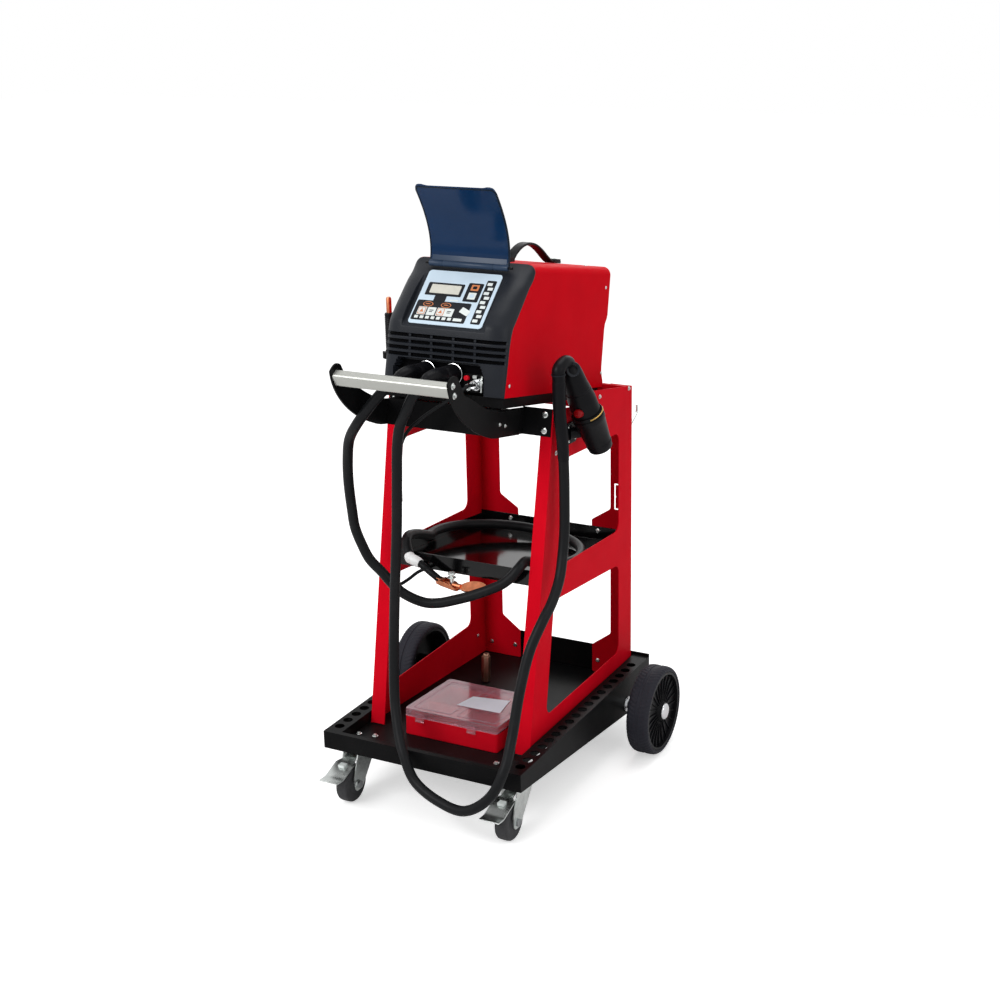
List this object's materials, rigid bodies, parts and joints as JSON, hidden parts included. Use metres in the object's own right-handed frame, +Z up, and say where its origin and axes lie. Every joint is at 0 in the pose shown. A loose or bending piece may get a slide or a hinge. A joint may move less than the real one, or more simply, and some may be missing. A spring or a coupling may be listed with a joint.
{
  "type": "dent pulling spot welder",
  "caption": "Spot welding machine for dent pulling, leaning back on a wheeled trolley of bent sheet with a cable tray, a base tray, a gun in its holster and a slide hammer.",
  "frame": {"origin": "on the ground under the middle of the footprint, leaving the cables out", "axes": "+Z up, -Y out of the control panel towards the user, +X to the user's right"},
  "size_m": [0.6756, 0.7486, 1.2661],
  "materials": {
    "red_sheet": "gloss red powder coat",
    "black_sheet": "satin black powder coat",
    "charcoal_plastic": "fine textured moulding",
    "black_plastic": "satin",
    "red_plastic": "semi-gloss",
    "clear_plastic": "clear, faintly pink",
    "visor_blue": "dark blue, see-through",
    "panel_film": "printed film",
    "display": "display window",
    "cable_rubber": "matt sheath",
    "caster_rubber": "solid rubber",
    "tyre": "solid rubber tread",
    "aluminium": "brushed",
    "zinc": "zinc plated",
    "steel": "plated steel",
    "chrome": "polished",
    "brass": "turned",
    "copper": "copper, slightly dull",
    "winding": "varnished laminations"
  },
  "bodies": {
    "trolley": {"base_tray": "black_sheet", "side_frame_left": "red_sheet", "side_frame_right": "red_sheet", "middle_tray": "black_sheet", "front_panel": "black_sheet", "handle_arm_left": "black_sheet", "handle_arm_right": "black_sheet", "handle_bar": "aluminium", "rear_bridge": "black_sheet", "cable_hook": "zinc", "rear_axle": "chrome", "caster_plate_left": "zinc", "caster_plate_right": "zinc", "machine_pan": "black_sheet", "machine_cover": "red_sheet", "front_moulding": "charcoal_plastic", "control_panel": "panel_film", "display_window": "display", "visor_pin": "steel", "carry_strap": "black_plastic", "cable_gland_left": "steel", "cable_gland_right": "steel", "connector_plate": "steel", "sense_socket": "zinc", "transformer": "winding", "machine_rear_panel": "black_sheet", "fan_frame": "black_plastic", "mains_gland": "black_plastic", "holster": "black_plastic", "gun_body": "black_plastic", "gun_collar": "brass", "tool_holder": "black_sheet", "earth_cable": "cable_rubber", "earth_coil": "cable_rubber", "gun_cable": "cable_rubber", "sense_cable": "cable_rubber", "earth_clamp": "copper", "accessory_case": "red_plastic", "hex_electrode": "brass"},
    "visor": {"visor": "visor_blue"},
    "case_lid": {"case_lid": "clear_plastic"},
    "caster_left": {"caster_fork_left": "zinc", "caster_bolt_left": "steel"},
    "caster_wheel_left": {"caster_wheel_left": "caster_rubber"},
    "brake_left": {"caster_brake_left": "zinc"},
    "caster_right": {"caster_fork_right": "zinc", "caster_bolt_right": "steel"},
    "caster_wheel_right": {"caster_wheel_right": "caster_rubber"},
    "brake_right": {"caster_brake_right": "zinc"},
    "rear_wheel_left": {"rear_wheel_left": "black_plastic", "rear_tyre_left": "tyre"},
    "rear_wheel_right": {"rear_wheel_right": "black_plastic", "rear_tyre_right": "tyre"},
    "trigger": {"gun_trigger": "red_plastic"},
    "slide_hammer": {"slide_hammer": "steel"},
    "hammer_weight": {"hammer_weight": "black_plastic"},
    "clamp_screw": {"clamp_screw": "zinc"},
    "fan_rotor": {"fan_rotor": "black_plastic"},
    "main_switch": {"main_switch": "black_plastic"},
    "aux_knob": {"aux_knob": "red_plastic"}
  },
  "joints": [
    {"name": "visor_tilt", "type": "hinge", "parent": "trolley", "child": "visor", "pos_m": [0, -0.05371, 1.10621], "axis": [1, 0, 0], "range_deg": [0, 106]},
    {"name": "lid_hinge", "type": "hinge", "parent": "trolley", "child": "case_lid", "pos_m": [0.0125, -0.01509, 0.16632], "axis": [1, 0, 0], "range_deg": [-100, 0]},
    {"name": "swivel_left", "type": "hinge", "parent": "trolley", "child": "caster_left", "pos_m": [-0.187, -0.2531, 0.1], "axis": [0, 0, 1], "continuous": true},
    {"name": "caster_roll_left", "type": "hinge", "parent": "caster_left", "child": "caster_wheel_left", "pos_m": [-0.187, -0.2851, 0.04], "axis": [1, 0, 0], "continuous": true},
    {"name": "brake_pedal_left", "type": "hinge", "parent": "caster_left", "child": "brake_left", "pos_m": [-0.187, -0.2561, 0.101], "axis": [1, 0, 0], "range_deg": [0, 10]},
    {"name": "swivel_right", "type": "hinge", "parent": "trolley", "child": "caster_right", "pos_m": [0.187, -0.2531, 0.1], "axis": [0, 0, 1], "continuous": true},
    {"name": "caster_roll_right", "type": "hinge", "parent": "caster_right", "child": "caster_wheel_right", "pos_m": [0.187, -0.2851, 0.04], "axis": [1, 0, 0], "continuous": true},
    {"name": "brake_pedal_right", "type": "hinge", "parent": "caster_right", "child": "brake_right", "pos_m": [0.187, -0.2561, 0.101], "axis": [1, 0, 0], "range_deg": [0, 10]},
    {"name": "rear_roll_left", "type": "hinge", "parent": "trolley", "child": "rear_wheel_left", "pos_m": [-0.2945, 0.1999, 0.098], "axis": [1, 0, 0], "continuous": true},
    {"name": "rear_roll_right", "type": "hinge", "parent": "trolley", "child": "rear_wheel_right", "pos_m": [0.2945, 0.1999, 0.098], "axis": [1, 0, 0], "continuous": true},
    {"name": "trigger_press", "type": "slide", "parent": "trolley", "child": "trigger", "axis": [0, 1, 0], "range_m": [0, 0.004], "stiffness_N_per_m": 500},
    {"name": "hammer_draw", "type": "slide", "parent": "trolley", "child": "slide_hammer", "axis": [-1, 0, 0], "range_m": [0, 0.06]},
    {"name": "weight_slide", "type": "slide", "parent": "slide_hammer", "child": "hammer_weight", "axis": [0, 0, 1], "range_m": [0, 0.17]},
    {"name": "screw_turn", "type": "hinge", "parent": "trolley", "child": "clamp_screw", "pos_m": [-0.00262, -0.15496, 0.48], "axis": [0, 0, 1], "continuous": true},
    {"name": "fan_spin", "type": "hinge", "parent": "trolley", "child": "fan_rotor", "pos_m": [-0.052, 0.26886, 0.95896], "axis": [0, 0.9833, -0.1822], "continuous": true},
    {"name": "main_switch_turn", "type": "hinge", "parent": "trolley", "child": "main_switch", "pos_m": [0.072, 0.28947, 0.97141], "axis": [0, 0.9833, -0.1822], "range_deg": [0, 90]},
    {"name": "aux_knob_press", "type": "slide", "parent": "trolley", "child": "aux_knob", "axis": [0, 0.9833, -0.1822], "range_m": [0, 0.0025], "stiffness_N_per_m": 400}
  ]
}
